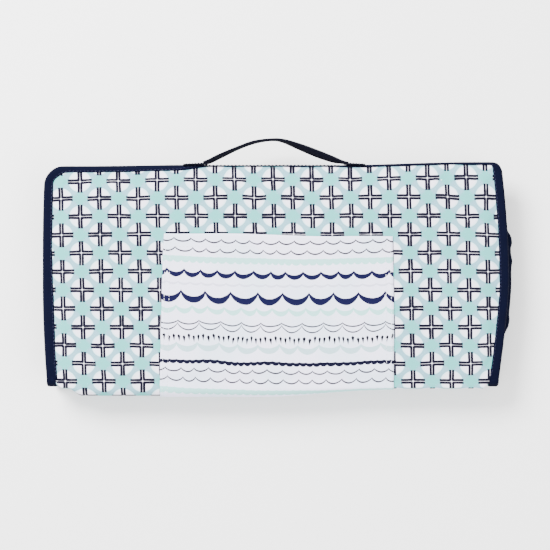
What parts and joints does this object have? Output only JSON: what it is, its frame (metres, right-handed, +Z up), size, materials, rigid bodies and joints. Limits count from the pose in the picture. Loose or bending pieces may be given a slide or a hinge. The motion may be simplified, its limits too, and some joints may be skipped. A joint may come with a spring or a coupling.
{
  "type": "folding changing pad",
  "caption": "Padded fold-up changing mat with bound edges, a printed cover, a flat front pocket and a carry handle; it unfolds into a long flat mat.",
  "frame": {"origin": "middle of the folded mat's footprint, on the face it lies on", "axes": "+X along the folds, +Y towards the free edge with the handle, +Z up through the layers; the pocket is on the top face"},
  "size_m": [0.414, 0.2314, 0.0381],
  "materials": {
    "printed_cotton": "woven cotton with a small printed pattern",
    "lining": "smooth wipe-clean coated cloth",
    "padding": "soft foam wadding",
    "binding": "woven bias tape",
    "pocket_cotton": "woven cotton with printed wavy lines",
    "hook_loop": "hook and loop tape"
  },
  "bodies": {
    "back": {"back_panel_cover": "printed_cotton", "back_panel_padding": "padding", "back_panel_lining": "lining", "back_panel_binding": "binding", "rear_fold_cover": "printed_cotton", "rear_fold_lining": "lining", "rear_fold_binding": "binding", "back_closure_loop": "hook_loop"},
    "inner_back": {"inner_back_panel_cover": "printed_cotton", "inner_back_panel_padding": "padding", "inner_back_panel_lining": "lining", "inner_back_panel_binding": "binding", "middle_fold_cover": "printed_cotton", "middle_fold_lining": "lining", "middle_fold_binding": "binding", "back_closure_hook": "hook_loop"},
    "inner_front": {"inner_front_panel_cover": "printed_cotton", "inner_front_panel_padding": "padding", "inner_front_panel_lining": "lining", "inner_front_panel_binding": "binding", "front_fold_cover": "printed_cotton", "front_fold_lining": "lining", "front_fold_binding": "binding", "front_closure_loop": "hook_loop"},
    "front": {"front_panel_cover": "printed_cotton", "front_panel_padding": "padding", "front_panel_lining": "lining", "front_panel_binding": "binding", "front_pocket": "pocket_cotton", "front_closure_hook": "hook_loop", "handle_ends": "binding"},
    "handle": {"carry_handle": "binding"}
  },
  "joints": [
    {"name": "rear_fold", "type": "hinge", "parent": "back", "child": "inner_back", "pos_m": [0, -0.1076, 0.0086], "axis": [1, 0, 0], "range_deg": [0, 180], "deforming": ["rear_fold_cover", "rear_fold_lining", "rear_fold_binding"]},
    {"name": "middle_fold", "type": "hinge", "parent": "inner_back", "child": "inner_front", "pos_m": [0, 0.08225, 0.0183], "axis": [-1, 0, 0], "range_deg": [0, 180], "deforming": ["middle_fold_cover", "middle_fold_lining", "middle_fold_binding"]},
    {"name": "front_fold", "type": "hinge", "parent": "inner_front", "child": "front", "pos_m": [0, -0.1076, 0.028], "axis": [1, 0, 0], "range_deg": [0, 180], "deforming": ["front_fold_cover", "front_fold_lining", "front_fold_binding"]},
    {"name": "handle_swing", "type": "hinge", "parent": "front", "child": "handle", "pos_m": [0, 0.094, 0.0374], "axis": [1, 0, 0], "range_deg": [0, 180]}
  ],
  "couplings": [
    {"joint": "middle_fold", "follows": "rear_fold", "ratio": 1}
  ]
}
